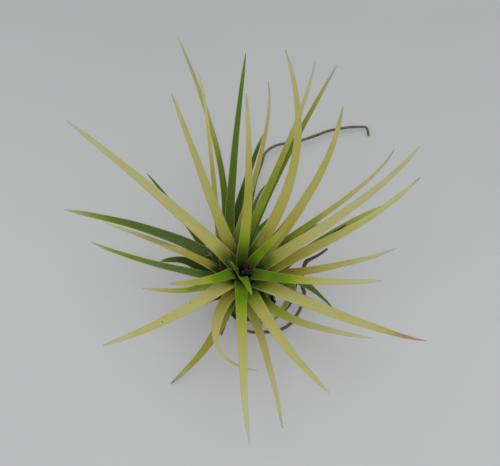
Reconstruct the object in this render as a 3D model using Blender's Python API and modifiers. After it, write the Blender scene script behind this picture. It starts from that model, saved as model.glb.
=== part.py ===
"""A druid ionantha air plant: a loose rosette of channelled leaves on a short stem, with wiry roots.

Metres, +Z up. The origin is the middle of the flat spot that the stem's foot stands on. +X is to the
right of somebody who looks at the plant along +Y. Sizes below are in millimetres where a name says so.
"""

import math

import bmesh
import bpy
from mathutils import Vector

MM = 0.001
MERGE_MM = 0.001  # points of a turned shape that are this close are one

# The stem: a short cone with the old leaf bases grown onto it, standing on a flat spot.
STEM_PROFILE_MM = (  # radius and height, from the foot up
    (0.0, 0.0),
    (3.4, 0.0),
    (5.0, 0.6),
    (6.2, 1.8),
    (6.6, 3.2),
    (5.9, 4.7),
    (4.4, 6.8),
    (2.8, 9.4),
    (1.4, 12.0),
    (0.5, 13.8),
    (0.0, 14.2),
)
STEM_SIDES = 24
STEM_LEAN = (-0.10, 0.03)  # sideways run of the plant's axis for each millimetre of height

# What the flower spike left behind: a dry stub in the middle of the youngest leaves.
STUB_PROFILE_MM = (
    (0.0, 14.7),
    (0.6, 14.8),
    (0.75, 16.4),
    (0.9, 18.2),
    (0.85, 19.6),
    (0.5, 20.6),
    (0.0, 20.9),
)
STUB_SIDES = 10

# Sheaths stand in tiers round the stem, tier 0 innermost. A tier's leaves share one radius.
TIER_RADIUS_MM = (1.75, 2.7, 3.62, 4.54, 5.46, 6.38, 7.3)
TIER_FOOT_MM = (13.2, 11.4, 9.9, 8.4, 7.0, 5.6, 4.1)
TIER_NECK_MM = (19.8, 19.8, 18.4, 16.6, 14.4, 11.8, 8.8)
TIER_SPLAY = (0.1, 0.3, 0.45, 0.6, 0.75, 0.9, 1.0)  # how far blades lean out as they leave the sheath
BLADE_MM = 0.62  # thickness of a leaf

# Each leaf: name, tier, root (degrees round the stem), tip (x, y, z), width of the blade at the neck,
# width of the sheath, and bow: how far the blade's outer half swings to its left, up and along.
LEAVES = (
    ("bud_left", 0, 172, (-5.3, 1.2, 26), 2, 2, (0, 0, 0)),
    ("bud_front", 0, 262, (0.4, -9.8, 28.5), 2.6, 2, (0, 2, 0)),
    ("crown_back", 1, 100, (-1, 37.6, 56), 3.7, 2.5, (-3.3, -2.4, -14)),
    ("crown_left", 1, 196, (-21.9, -9, 34), 3.9, 2.4, (3.5, 2.7, -7.2)),
    ("crown_front", 1, 266, (-0.1, -55.8, 40), 4.1, 3.3, (-1.6, -0.6, 10)),
    ("crown_right", 1, 338, (36, -7.6, 33), 4, 2.6, (-4.2, 2.4, -6)),
    ("crown_slant", 1, 40, (11.6, 9.8, 36), 3.9, 2, (-1.5, 2, 0)),
    ("gold_left", 2, 133, (-51, 36.2, 44), 4.6, 3, (-1.6, 0.8, -3.5)),
    ("gold_front_left", 2, 218, (-38.6, -28.6, 38), 5, 3.4, (5.6, 4.2, -6)),
    ("gold_front_right", 2, 322, (46.9, -25.6, 34), 5.1, 3.2, (-2.5, -3.2, 10)),
    ("gold_right", 2, 17, (46.4, 25.8, 48), 4.8, 3, (-6.5, 2.1, 3.9)),
    ("gold_back", 2, 69, (9.9, 54.2, 52), 4.2, 2.8, (-18, 1.8, -5.8)),
    ("straw_back_left", 3, 117, (-21.6, 41.2, 50), 4.1, 2.8, (0.3, 1.7, -0.6)),
    ("straw_back_right", 3, 50, (25.7, 38.5, 48), 4.4, 2.8, (-9.4, 1.6, -1.3)),
    ("straw_right", 3, 9, (47.3, 21.6, 38), 4.6, 3, (-6.7, 2.1, 3.4)),
    ("straw_front", 3, 287, (20.6, -40.1, 34), 4.8, 3.2, (-3.4, 1.4, 2.9)),
    ("straw_hooked", 3, 238, (2, -31, 26), 4.2, 2.4, (-19, 0, 5)),
    ("straw_left", 3, 178, (-41.5, 16.7, 19), 3.8, 2.6, (-3.7, -2.7, -14)),
    ("olive_right", 4, 8, (40.6, 4.4, 28), 3.5, 2.8, (-4.4, 1.9, -0.2)),
    ("olive_back_right", 4, 56, (39.9, 28.1, 42), 2.8, 2.8, (-7.6, 6.5, 10)),
    ("olive_back_tall", 4, 109, (18.6, 56.6, 42), 3.3, 2.2, (-3.7, 2.6, 3.5)),
    ("olive_back", 4, 138, (5.1, 47.7, 46), 3.2, 2.1, (-6, 2, 7.5)),
    ("olive_back_left", 4, 162, (-14.8, 53, 44), 2.6, 2, (-2.1, 3.6, 7)),
    ("olive_left", 4, 190, (-30.8, -1.1, 13), 2.8, 2.3, (4.4, 1.9, -5.3)),
    ("olive_front_left", 4, 236, (-22.7, -25.4, 0.3), 4, 2.6, (6.2, 2.8, -6.6)),
    ("olive_front", 4, 273, (8.8, -43.9, 16), 3.3, 2.4, (2.4, 3.3, -8.5)),
    ("olive_front_right", 4, 309, (34.7, -14.8, 9), 3.4, 2.8, (-8.1, 2.6, -12.4)),
    ("green_right_low", 5, 350, (24.4, -2, 0.4), 3.6, 2.6, (10.3, 2.1, -7.9)),
    ("green_right_short", 5, 36, (19.4, 14.1, 24), 3.3, 3, (5.1, -0.8, -14)),
    ("green_back_right", 5, 99, (24.9, 57.8, 38), 3.4, 2.3, (2.5, 1.2, -4.2)),
    ("green_back", 5, 121, (-1.2, 62.6, 38), 3.7, 2.2, (3.6, -4.8, -14)),
    ("green_left_broad", 5, 143, (-51.6, 13.5, 34), 4.5, 2.3, (-10.1, -6, -14)),
    ("green_left", 5, 170, (-45, 8.8, 23), 3.2, 2.4, (3.7, 1.9, 0.3)),
    ("green_back_broad", 6, 110, (4, 49.3, 14), 4.2, 2.3, (6.5, -5.6, -14)),
    ("outer_right", 6, 27, (39.4, 20.3, 24), 3.4, 2.8, (1.9, 2.5, 4.8)),
    ("outer_back_right", 6, 64, (6.7, 21.5, 14), 3.2, 2.4, (9.2, 0.7, -7.4)),
    ("outer_back_low", 6, 92, (4.9, 39.1, 0.4), 2.6, 2.2, (3.4, 3, 3.6)),
    ("outer_back_tall", 6, 135, (-21.1, 67, 40), 3.1, 2.2, (-10.7, -6, -14)),
    ("outer_back_left", 6, 155, (-29.8, 30.3, 24), 3, 2.4, (-2.2, 0, -12)),
    ("outer_left_short", 6, 177, (-25.9, 6.9, 14), 3.9, 2.3, (-7.1, 2, -2.4)),
    ("outer_left_low", 6, 197, (-14, -3, 5), 2.8, 2.4, (0, 1, 0)),
    ("outer_front_left", 6, 229, (-8.3, -12.6, 5), 2.8, 2.8, (0, 1, 0)),
    ("outer_front", 6, 258, (-2.5, -11, 4), 2.4, 2.8, (0, 0, 0)),
    ("outer_front_right", 6, 283, (3.5, -9.5, 5), 2.2, 2.4, (0, 0, 0)),
    ("outer_right_curled", 6, 4, (6.9, -6.4, 2.3), 2.8, 2.4, (11.6, 4.1, -7.5)),
)
SHEATH_ROWS = 2
BLADE_ROWS = 9
SHORT_BLADE_ROWS = 5
SHORT_BLADE_MM = 16
ACROSS = 3  # faces across a leaf
NECK_REACH_MM = 4.0  # how far the blade keeps the sheath's direction as it leaves it
NECK_REACH_SHARE = 0.25  # the same, as the most of a short blade's length
OUTER_REACH_SHARE = 0.45  # how far back from the tip the outer half takes its direction
WIDENS_OVER = 0.14  # the share of the blade over which the sheath's width goes over into the blade's
CHANNEL = 0.62  # half the angle that a blade's section turns through, in radians
TAPER = 0.8  # the share of its width that a blade loses from the neck to the tip
POINT_SHARE = 0.1  # the share of a blade that comes to a point
TIP_WIDTH_MM = 0.62

# Each root: name, radius, and its middle line from the stem outwards (x, y, z, and how thick it is there).
ROOTS = (
    (
        "root_long",
        0.42,
        (
            (0.9, 7.1, 1.5, 1.0),
            (0.3, 11, 1.1, 1.0),
            (-0.5, 18, 0.9, 1.0),
            (-0.3, 26, 1.0, 1.0),
            (0.6, 33, 1.3, 1.0),
            (1.9, 40, 1.9, 1.0),
            (3.7, 46.1, 1.8, 1.0),
            (4.3, 48.5, 1.9, 1.0),
            (5.5, 50.2, 2.0, 1.0),
            (7.4, 51.6, 2.0, 1.0),
            (9.2, 52.3, 2.0, 1.0),
            (11.1, 52.7, 2.0, 1.0),
            (15.7, 53.7, 2.0, 1.05),
            (20.0, 55.3, 2.0, 1.05),
            (24.4, 57.1, 2.0, 1.0),
            (28.1, 58.0, 1.9, 1.0),
            (31.0, 58.6, 1.7, 0.95),
            (34.6, 58.9, 1.4, 0.85),
            (36.2, 58.8, 1.2, 0.85),
            (36.6, 58.2, 1.0, 0.85),
            (36.9, 56.2, 0.6, 0.8),
        ),
    ),
    (
        "root_loop",
        0.45,
        (
            (-3.4, -6.1, 1.9, 1.0),
            (-2.2, -8.2, 1.2, 0.9),
            (-0.6, -9.3, 0.7, 0.9),
            (3.5, -9.6, 0.7, 1.0),
            (8.4, -9.0, 0.7, 1.0),
            (12.0, -6.9, 1.0, 1.0),
            (13.4, -4.9, 1.2, 1.0),
            (14.8, -2.4, 1.6, 1.0),
            (15.8, 1.2, 2.2, 0.9),
            (15.9, 2.3, 2.5, 1.3),
            (15.3, 4.0, 3.0, 1.1),
            (15.6, 7.4, 5.2, 1.0),
            (16.4, 9.9, 7.0, 1.5),
            (18.1, 10.6, 8.0, 1.1),
            (20.4, 11.1, 10.0, 0.95),
            (22.4, 11.8, 12.0, 0.8),
        ),
    ),
    (
        "root_thin",
        0.3,
        (
            (3.4, -6.7, 1.6, 1.0),
            (5.8, -6.8, 1.0, 1.0),
            (7.3, -5.6, 1.2, 1.0),
            (11.7, -1.4, 1.6, 1.0),
            (13.1, 2.6, 2.4, 1.0),
            (13.6, 4.4, 3.1, 1.0),
            (13.9, 6.6, 4.6, 0.9),
        ),
    ),
)
ROOT_BEVEL_RESOLUTION = 2


def axis_at(height):
    """The middle of the plant at a height, both in millimetres."""
    return Vector((STEM_LEAN[0] * height, STEM_LEAN[1] * height, height))


def round_axis(degrees):
    """The level direction that points away from the axis."""
    angle = math.radians(degrees)
    return Vector((math.cos(angle), math.sin(angle), 0))


def material(name, colour, roughness):
    made = bpy.data.materials.new(name)
    made.use_nodes = True
    shader = made.node_tree.nodes["Principled BSDF"]
    shader.inputs["Base Color"].default_value = (*colour, 1)
    shader.inputs["Roughness"].default_value = roughness
    shader.inputs["Metallic"].default_value = 0
    made.diffuse_color = (*colour, 1)
    return made


def add_object(name, data, collection, finish):
    made = bpy.data.objects.new(name, data)
    made.data.materials.append(finish)
    collection.objects.link(made)
    return made


def bezier(points, t):
    """A point of the cubic curve through the first and last of four points."""
    a, b, c, d = points
    return a * (1 - t) ** 3 + b * 3 * t * (1 - t) ** 2 + c * 3 * t * t * (1 - t) + d * t**3


def leaf_line(tier, root, tip, bow):
    """The leaf's middle line in millimetres, sheath first, and how much of the blade each point has passed."""
    out = round_axis(root)
    radius = TIER_RADIUS_MM[tier]
    foot = TIER_FOOT_MM[tier]
    neck = TIER_NECK_MM[tier]
    line = []
    for row in range(SHEATH_ROWS):
        height = foot + (neck - foot) * row / SHEATH_ROWS
        line.append((axis_at(height) + out * radius, 0.0))
    start = axis_at(neck) + out * radius
    end = Vector(tip)
    chord = end - start
    length = chord.length
    left = Vector((-chord.y, chord.x, 0)).normalized()
    rise = min(NECK_REACH_MM, NECK_REACH_SHARE * length)
    along = bow[2] - OUTER_REACH_SHARE * length
    handles = (
        start,
        start + (axis_at(1) - axis_at(0) + out * TIER_SPLAY[tier]) * rise,
        end + chord.normalized() * along + left * bow[0] + Vector((0, 0, bow[1])),
        end,
    )
    rows = SHORT_BLADE_ROWS if length < SHORT_BLADE_MM else BLADE_ROWS
    blade = [bezier(handles, row / rows) for row in range(rows + 1)]
    passed = [0.0]
    for before, after in zip(blade, blade[1:]):
        passed.append(passed[-1] + (after - before).length)
    line += [(point, so_far / passed[-1]) for point, so_far in zip(blade, passed)]
    return line


def blade_width(full, share):
    """A blade tapers evenly to a fifth of its width, and its last tenth comes to a point."""
    point = min(1, math.sqrt(max(0, 1 - share) / POINT_SHARE))
    return max(TIP_WIDTH_MM, full * (1 - TAPER * share) * point)


def leaf_points(tier, root, tip, width, sheath, bow):
    """Rows of points across the leaf, in metres, from the sheath's foot to the blade's tip."""
    line = leaf_line(tier, root, tip, bow)
    points = [point for point, _ in line]
    across = round_axis(root + 90)
    hug = sheath / 2 / TIER_RADIUS_MM[tier]
    rows = []
    for i, (middle, share) in enumerate(line):
        ahead = points[min(i + 1, len(points) - 1)] - points[max(i - 1, 0)]
        ahead.normalize()
        across = (across - ahead * across.dot(ahead)).normalized()
        inward = ahead.cross(across)
        grown = min(1, share / WIDENS_OVER)
        wide = sheath + (blade_width(width, share) - sheath) * grown
        turn = hug + (CHANNEL - hug) * min(1, 3 * share)
        bend = wide / 2 / turn
        for j in range(ACROSS + 1):
            angle = turn * (2 * j / ACROSS - 1)
            aside = across * bend * math.sin(angle)
            up = inward * bend * (1 - math.cos(angle))
            rows.append((middle + aside + up) * MM)
    return rows, len(line)


def make_leaf(name, shape, collection, finish):
    """A grid that is bent into the leaf's channelled strip, and thickened."""
    points, count = leaf_points(*shape)
    mesh = bpy.data.meshes.new(name)
    grid = bmesh.new()
    bmesh.ops.create_grid(grid, x_segments=ACROSS, y_segments=count - 1, size=1)
    grid.verts.ensure_lookup_table()
    order = sorted(grid.verts, key=lambda vert: (round(vert.co.y, 4), round(vert.co.x, 4)))
    for vert, place in zip(order, points):
        vert.co = place
    bmesh.ops.triangulate(grid, faces=grid.faces, quad_method="FIXED")
    grid.to_mesh(mesh)
    grid.free()
    mesh.shade_smooth()
    leaf = add_object(name, mesh, collection, finish)
    thick = leaf.modifiers.new("thickness", "SOLIDIFY")
    thick.thickness = BLADE_MM * MM
    thick.offset = 0
    thick.use_even_offset = True
    return leaf


def make_turned(name, profile_mm, sides, collection, finish):
    """A shape that is turned from its profile and leans with the plant's axis; level faces stay level."""
    mesh = bpy.data.meshes.new(name)
    turned = bmesh.new()
    profile = [turned.verts.new((radius * MM, 0, height * MM)) for radius, height in profile_mm]
    edges = [turned.edges.new(pair) for pair in zip(profile, profile[1:])]
    bmesh.ops.spin(
        turned,
        geom=profile + edges,
        cent=(0, 0, 0),
        axis=(0, 0, 1),
        angle=math.tau,
        steps=sides,
        use_merge=True,
    )
    bmesh.ops.remove_doubles(turned, verts=turned.verts, dist=MERGE_MM * MM)
    for vert in turned.verts:
        vert.co += axis_at(vert.co.z / MM) * MM - Vector((0, 0, vert.co.z))
    bmesh.ops.recalc_face_normals(turned, faces=turned.faces)
    turned.to_mesh(mesh)
    turned.free()
    mesh.shade_smooth()
    return add_object(name, mesh, collection, finish)


def make_root(name, radius_mm, line, collection, finish):
    """A wiry root: a round tube along its line, with knots where the line is thicker."""
    curve = bpy.data.curves.new(name, "CURVE")
    curve.dimensions = "3D"
    curve.bevel_depth = radius_mm * MM
    curve.bevel_resolution = ROOT_BEVEL_RESOLUTION
    curve.use_fill_caps = True
    spline = curve.splines.new("POLY")
    spline.points.add(len(line) - 1)
    for point, (x, y, z, thick) in zip(spline.points, line):
        point.co = (x * MM, y * MM, z * MM, 1)
        point.radius = thick
    return add_object(name, curve, collection, finish)


def build():
    for old in list(bpy.data.objects):
        bpy.data.objects.remove(old)
    plant = bpy.data.collections.new("druid_ionantha_air_plant")
    bpy.context.scene.collection.children.link(plant)
    husk = material("stem_husk", (0.25, 0.19, 0.11), 0.85)
    wiry = material("dry_root", (0.11, 0.085, 0.06), 0.8)
    spent = material("spent_flower", (0.07, 0.05, 0.035), 0.9)
    young = material("young_leaf", (0.35, 0.45, 0.08), 0.55)
    blushed = material("blushed_leaf", (0.62, 0.57, 0.22), 0.55)
    old = material("old_leaf", (0.13, 0.22, 0.06), 0.65)
    by_tier = (young, young, blushed, blushed, blushed, old, old)
    make_turned("stem", STEM_PROFILE_MM, STEM_SIDES, plant, husk)
    make_turned("flower_stub", STUB_PROFILE_MM, STUB_SIDES, plant, spent)
    for name, tier, root, tip, width, sheath, bow in LEAVES:
        make_leaf(f"leaf_{name}", (tier, root, tip, width, sheath, bow), plant, by_tier[tier])
    for name, radius_mm, line in ROOTS:
        make_root(name, radius_mm, line, plant, wiry)


build()
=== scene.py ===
"""Looks of the druid ionantha air plant: fine leaves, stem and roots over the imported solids.

Metres, +Z up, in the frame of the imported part. The tables of leaves and roots repeat the part's own
named values, in millimetres. Sections, surfaces and colours are finer here, sheaths are wider, blades
taper a little less, and some blades are broader, slimmer or turned on their own line.
"""

import math

import bmesh
import bpy
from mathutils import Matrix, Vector, noise


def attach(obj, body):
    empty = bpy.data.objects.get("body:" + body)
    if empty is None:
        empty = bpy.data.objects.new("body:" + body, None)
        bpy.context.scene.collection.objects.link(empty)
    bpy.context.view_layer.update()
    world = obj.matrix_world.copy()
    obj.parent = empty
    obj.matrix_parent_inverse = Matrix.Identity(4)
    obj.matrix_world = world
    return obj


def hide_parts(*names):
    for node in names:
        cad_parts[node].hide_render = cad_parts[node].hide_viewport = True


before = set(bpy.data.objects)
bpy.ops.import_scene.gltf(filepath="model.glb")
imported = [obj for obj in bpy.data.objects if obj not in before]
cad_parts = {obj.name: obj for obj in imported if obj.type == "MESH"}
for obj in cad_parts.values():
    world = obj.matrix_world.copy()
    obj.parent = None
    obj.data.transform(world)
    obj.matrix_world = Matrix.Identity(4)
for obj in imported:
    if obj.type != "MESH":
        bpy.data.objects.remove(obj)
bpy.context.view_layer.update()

MM = 0.001

# The camera looks down on the plant from the front.
CAMERA_TARGET_MM = (0, 15.5, 15)
CAMERA_DISTANCE_MM = 420
CAMERA_ELEVATION = 64
CAMERA_LENS = 104.3
CAMERA_NEAR_M = 0.01

# One wide soft lamp above, a pale even sky, and a floor of pale paper.
LAMP_PLACE_M = (0.1, 0.28, 0.92)
LAMP_TARGET_M = (0, 0, 0.01)
LAMP_SIZE_M = (1.3, 1.0)
LAMP_WATTS = 2.9
SKY_COLOUR = (0.97, 0.99, 1.0, 1)
SKY_STRENGTH = 0.72
FLOOR_SIZE_M = 3
FLOOR_TONES = ((0.544, 0.545, 0.547, 1), (0.574, 0.575, 0.577, 1))
FLOOR_CLOUDS = 9.0
# Painted shade: the floor is painted darker towards the back, down to FLOOR_FAR_SHADE.
FLOOR_FAR_M = 0.1  # how far behind the plant the floor is at its dullest
FLOOR_FAR_SHADE = 0.83
FLOOR_LIT = 0.7  # the paper takes this share of its tone from the light
FLOOR_GLOW = 0.26  # and glows a little, which softens the shade on it

# The plant, as the part's own source has it. A profile's rows are radius and height.
STEM_PROFILE_MM = (
    (0.0, 0.0),
    (3.4, 0.0),
    (5.0, 0.6),
    (6.2, 1.8),
    (6.6, 3.2),
    (5.9, 4.7),
    (4.4, 6.8),
    (2.8, 9.4),
    (1.4, 12.0),
    (0.5, 13.8),
    (0.0, 14.2),
)
STEM_LEAN = (-0.10, 0.03)  # how far the axis leans in X and Y for each millimetre up
STUB_PROFILE_MM = (
    (0.0, 14.7),
    (0.6, 14.8),
    (0.75, 16.4),
    (0.9, 18.2),
    (0.85, 19.6),
    (0.5, 20.6),
    (0.0, 20.9),
)

# The tiers of leaves from the heart outwards: how far out the sheaths stand, how high they begin
# and end, and how far the blades lean out from there.
TIER_RADIUS_MM = (1.75, 2.7, 3.62, 4.54, 5.46, 6.38, 7.3)
TIER_FOOT_MM = (13.2, 11.4, 9.9, 8.4, 7.0, 5.6, 4.1)
TIER_NECK_MM = (19.8, 19.8, 18.4, 16.6, 14.4, 11.8, 8.8)
TIER_SPLAY = (0.1, 0.3, 0.45, 0.6, 0.75, 0.9, 1.0)

# Each leaf: name, tier, degrees round the axis, tip, width of blade and of sheath, and how its curve
# bows (to the left, up, along). In up to 38 of the 45 rows the degrees, the tip's X and Y and the bow
# were worked out by a fit to the leaf's line in the photo, and weren't chosen by hand.
LEAVES = (
    ("bud_left", 0, 172, (-5.3, 1.2, 26), 2, 2, (0, 0, 0)),
    ("bud_front", 0, 262, (0.4, -9.8, 28.5), 2.6, 2, (0, 2, 0)),
    ("crown_back", 1, 100, (-1, 37.6, 56), 3.7, 2.5, (-3.3, -2.4, -14)),
    ("crown_left", 1, 196, (-21.9, -9, 34), 3.9, 2.4, (3.5, 2.7, -7.2)),
    ("crown_front", 1, 266, (-0.1, -55.8, 40), 4.1, 3.3, (-1.6, -0.6, 10)),
    ("crown_right", 1, 338, (36, -7.6, 33), 4, 2.6, (-4.2, 2.4, -6)),
    ("crown_slant", 1, 40, (11.6, 9.8, 36), 3.9, 2, (-1.5, 2, 0)),
    ("gold_left", 2, 133, (-51, 36.2, 44), 4.6, 3, (-1.6, 0.8, -3.5)),
    ("gold_front_left", 2, 218, (-38.6, -28.6, 38), 5, 3.4, (5.6, 4.2, -6)),
    ("gold_front_right", 2, 322, (46.9, -25.6, 34), 5.1, 3.2, (-2.5, -3.2, 10)),
    ("gold_right", 2, 17, (46.4, 25.8, 48), 4.8, 3, (-6.5, 2.1, 3.9)),
    ("gold_back", 2, 69, (9.9, 54.2, 52), 4.2, 2.8, (-18, 1.8, -5.8)),
    ("straw_back_left", 3, 117, (-21.6, 41.2, 50), 4.1, 2.8, (0.3, 1.7, -0.6)),
    ("straw_back_right", 3, 50, (25.7, 38.5, 48), 4.4, 2.8, (-9.4, 1.6, -1.3)),
    ("straw_right", 3, 9, (47.3, 21.6, 38), 4.6, 3, (-6.7, 2.1, 3.4)),
    ("straw_front", 3, 287, (20.6, -40.1, 34), 4.8, 3.2, (-3.4, 1.4, 2.9)),
    ("straw_hooked", 3, 238, (2, -31, 26), 4.2, 2.4, (-19, 0, 5)),
    ("straw_left", 3, 178, (-41.5, 16.7, 19), 3.8, 2.6, (-3.7, -2.7, -14)),
    ("olive_right", 4, 8, (40.6, 4.4, 28), 3.5, 2.8, (-4.4, 1.9, -0.2)),
    ("olive_back_right", 4, 56, (39.9, 28.1, 42), 2.8, 2.8, (-7.6, 6.5, 10)),
    ("olive_back_tall", 4, 109, (18.6, 56.6, 42), 3.3, 2.2, (-3.7, 2.6, 3.5)),
    ("olive_back", 4, 138, (5.1, 47.7, 46), 3.2, 2.1, (-6, 2, 7.5)),
    ("olive_back_left", 4, 162, (-14.8, 53, 44), 2.6, 2, (-2.1, 3.6, 7)),
    ("olive_left", 4, 190, (-30.8, -1.1, 13), 2.8, 2.3, (4.4, 1.9, -5.3)),
    ("olive_front_left", 4, 236, (-22.7, -25.4, 0.3), 4, 2.6, (6.2, 2.8, -6.6)),
    ("olive_front", 4, 273, (8.8, -43.9, 16), 3.3, 2.4, (2.4, 3.3, -8.5)),
    ("olive_front_right", 4, 309, (34.7, -14.8, 9), 3.4, 2.8, (-8.1, 2.6, -12.4)),
    ("green_right_low", 5, 350, (24.4, -2, 0.4), 3.6, 2.6, (10.3, 2.1, -7.9)),
    ("green_right_short", 5, 36, (19.4, 14.1, 24), 3.3, 3, (5.1, -0.8, -14)),
    ("green_back_right", 5, 99, (24.9, 57.8, 38), 3.4, 2.3, (2.5, 1.2, -4.2)),
    ("green_back", 5, 121, (-1.2, 62.6, 38), 3.7, 2.2, (3.6, -4.8, -14)),
    ("green_left_broad", 5, 143, (-51.6, 13.5, 34), 4.5, 2.3, (-10.1, -6, -14)),
    ("green_left", 5, 170, (-45, 8.8, 23), 3.2, 2.4, (3.7, 1.9, 0.3)),
    ("green_back_broad", 6, 110, (4, 49.3, 14), 4.2, 2.3, (6.5, -5.6, -14)),
    ("outer_right", 6, 27, (39.4, 20.3, 24), 3.4, 2.8, (1.9, 2.5, 4.8)),
    ("outer_back_right", 6, 64, (6.7, 21.5, 14), 3.2, 2.4, (9.2, 0.7, -7.4)),
    ("outer_back_low", 6, 92, (4.9, 39.1, 0.4), 2.6, 2.2, (3.4, 3, 3.6)),
    ("outer_back_tall", 6, 135, (-21.1, 67, 40), 3.1, 2.2, (-10.7, -6, -14)),
    ("outer_back_left", 6, 155, (-29.8, 30.3, 24), 3, 2.4, (-2.2, 0, -12)),
    ("outer_left_short", 6, 177, (-25.9, 6.9, 14), 3.9, 2.3, (-7.1, 2, -2.4)),
    ("outer_left_low", 6, 197, (-14, -3, 5), 2.8, 2.4, (0, 1, 0)),
    ("outer_front_left", 6, 229, (-8.3, -12.6, 5), 2.8, 2.8, (0, 1, 0)),
    ("outer_front", 6, 258, (-2.5, -11, 4), 2.4, 2.8, (0, 0, 0)),
    ("outer_front_right", 6, 283, (3.5, -9.5, 5), 2.2, 2.4, (0, 0, 0)),
    ("outer_right_curled", 6, 4, (6.9, -6.4, 2.3), 2.8, 2.4, (11.6, 4.1, -7.5)),
)
NECK_REACH_MM = 4.0  # how far a blade leaves along its sheath's own course
NECK_REACH_SHARE = 0.25  # and at most this share of its length
OUTER_REACH_SHARE = 0.45  # how far back from the tip the outer handle of its curve lies
WIDENS_OVER = 0.14  # the share of a blade over which the sheath's width becomes its own
CHANNEL = 0.62  # half the angle of a blade's channel, in radians
TAPER = 0.77  # how much of its width a blade loses up to its tip, a little less than its solid
POINT_SHARE = 0.1  # the last share of a blade, which comes to a point

# How a leaf is finer here than its solid.
SHEATH_ROWS = 8
BLADE_ROWS = 56
ACROSS = 12  # steps from one margin to the other
SHEATH_CLASPS = 1.45  # a real sheath is wider than its solid and laps over its neighbours
TUCK_MM = 0.26  # how far one margin of a sheath goes under the next leaf, and the other over it
MIDDLE_MM = 0.6  # thickness in the middle of a leaf
MARGIN_MM = 0.14  # and at its margins
TIP_WIDTH_MM = 0.16
TIP_THINNING = 0.6  # how much of its thickness a leaf loses up to its tip
SETTLING = 3  # a blade has its whole channel and twist after one third of its length
SWAY_MM = 0.25  # how far a blade strays from its smooth line
SWAY_WAVES = 3.1
SWAY_STEP = 7.3  # from one leaf to the next, so that no two stray alike
GRAIN_STEP = 13.7  # from one leaf to the next, so that no two have the same grain

# Colours as they look under the studio light, red, green and blue from 0 to 255.
PALETTE = {
    # The next, darkest tone is painted shade, for the deepest places between leaves.
    "painted_gloom": (20, 27, 8),
    "night": (38, 50, 12),
    "forest": (52, 68, 16),
    "dark": (64, 84, 16),
    "leaf": (80, 101, 24),
    "sage": (80, 99, 44),
    "grass": (82, 108, 12),
    "fresh": (94, 124, 6),
    "meadow": (98, 117, 28),
    "lime": (125, 141, 32),
    "moss": (108, 110, 26),
    "olive": (129, 133, 46),
    "amber": (142, 128, 38),
    "gold_green": (146, 148, 64),
    "honey": (152, 143, 62),
    "gold": (163, 156, 88),
    "straw": (169, 163, 106),
    "cream": (170, 170, 130),
    "ash": (167, 168, 148),
    "tan": (172, 148, 88),
    "rust": (150, 126, 104),
    "dust": (146, 150, 122),
    "husk": (128, 116, 92),
    "paper": (176, 174, 160),
}
LIGHT_GAIN = (1.15, 1.18, 1.08)  # from a colour under the studio light to the surface's own
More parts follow.
